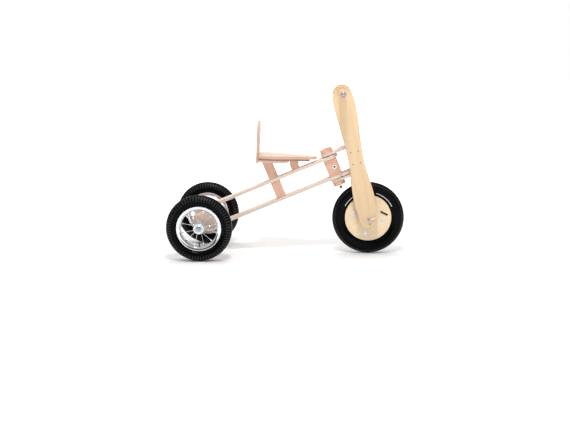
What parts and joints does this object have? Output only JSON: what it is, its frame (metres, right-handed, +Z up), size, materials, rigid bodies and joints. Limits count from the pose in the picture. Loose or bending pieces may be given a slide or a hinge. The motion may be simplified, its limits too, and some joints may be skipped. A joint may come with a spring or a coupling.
{
  "type": "children's tricycle",
  "caption": "Wooden child's tricycle: twin tilted plank frame, saddle with backrest, bladed fork and handlebar, air-tyred wheels; it rolls and steers.",
  "frame": {"origin": "on the ground under the middle of the tricycle, half way along and half way across", "axes": "+X forward, +Y to the rider's left, +Z up"},
  "size_m": [0.9737, 0.442, 0.6999],
  "materials": {
    "plywood": "clear-oiled beech and birch plywood with visible plies at the edges",
    "birch_face": "lacquered birch plywood, grain along the length",
    "solid_wood": "clear-oiled solid beech",
    "tyre": "black rubber with moulded ribs",
    "rubber": "smooth black rubber",
    "chrome": "bright chrome plate",
    "hub_alloy": "turned aluminium",
    "zinc_steel": "bright zinc-plated steel",
    "black_plastic": "black moulded plastic"
  },
  "bodies": {
    "frame": {"upper_frame_plank": "plywood", "lower_frame_plank": "plywood", "head_block": "solid_wood", "upper_head_bush": "black_plastic", "lower_head_bush": "black_plastic", "head_cross_fasteners": "zinc_steel", "rear_axle_block": "solid_wood", "axle_cheeks": "plywood", "rear_axle": "zinc_steel", "axle_spacers": "zinc_steel", "axle_nuts": "zinc_steel", "rear_post_lower": "solid_wood", "rear_post_upper": "solid_wood", "front_post": "solid_wood", "seat_wedge": "plywood", "seat_base_plate": "plywood", "seat_support_board": "plywood", "seat_board": "plywood", "backrest": "plywood", "backrest_screws": "zinc_steel", "seat_screws": "zinc_steel", "frame_screws": "zinc_steel"},
    "fork": {"fork_blade_right": "birch_face", "fork_blade_left": "birch_face", "fork_block": "solid_wood", "fork_stop_block": "plywood", "fork_block_bolt": "zinc_steel", "fork_side_screws": "zinc_steel", "upper_steering_plate": "plywood", "lower_steering_plate": "plywood", "top_cap_block": "solid_wood", "bottom_cap_block": "solid_wood", "steering_rod": "zinc_steel", "rod_nut": "zinc_steel", "rod_end_cap": "black_plastic", "handlebar": "solid_wood", "handlebar_end_buttons": "zinc_steel", "front_axle": "zinc_steel", "front_axle_spacers": "zinc_steel", "front_axle_nut": "zinc_steel"},
    "quick_release_lever": {"quick_release_lever": "hub_alloy"},
    "front_wheel": {"front_tyre": "tyre", "front_tube": "rubber", "wheel_disc_right": "birch_face", "wheel_disc_left": "birch_face", "disc_fasteners": "zinc_steel", "front_hub": "hub_alloy", "front_bearings": "zinc_steel"},
    "rear_wheel_right": {"rear_tyre_right": "tyre", "rear_tube_right": "rubber", "rear_rim_right": "chrome", "rear_hub_right": "hub_alloy", "rear_bearings_right": "zinc_steel", "rear_spokes_right": "chrome"},
    "rear_wheel_left": {"rear_tyre_left": "tyre", "rear_tube_left": "rubber", "rear_rim_left": "chrome", "rear_hub_left": "hub_alloy", "rear_bearings_left": "zinc_steel", "rear_spokes_left": "chrome"}
  },
  "joints": [
    {"name": "steering", "type": "hinge", "parent": "frame", "child": "fork", "pos_m": [0.18887, 0, 0.35864], "axis": [-0.3827, 0, 0.9239], "range_deg": [-45, 45]},
    {"name": "front_wheel_spin", "type": "hinge", "parent": "fork", "child": "front_wheel", "pos_m": [0.33675, 0, 0.15], "axis": [0, 1, 0], "continuous": true},
    {"name": "rear_wheel_right_spin", "type": "hinge", "parent": "frame", "child": "rear_wheel_right", "pos_m": [-0.35225, -0.18, 0.1345], "axis": [0, 1, 0], "continuous": true},
    {"name": "rear_wheel_left_spin", "type": "hinge", "parent": "frame", "child": "rear_wheel_left", "pos_m": [-0.35225, 0.18, 0.1345], "axis": [0, 1, 0], "continuous": true},
    {"name": "quick_release", "type": "hinge", "parent": "fork", "child": "quick_release_lever", "pos_m": [0.33675, -0.0653, 0.15], "axis": [0.3584, 0, -0.9336], "range_deg": [0, 120]}
  ]
}
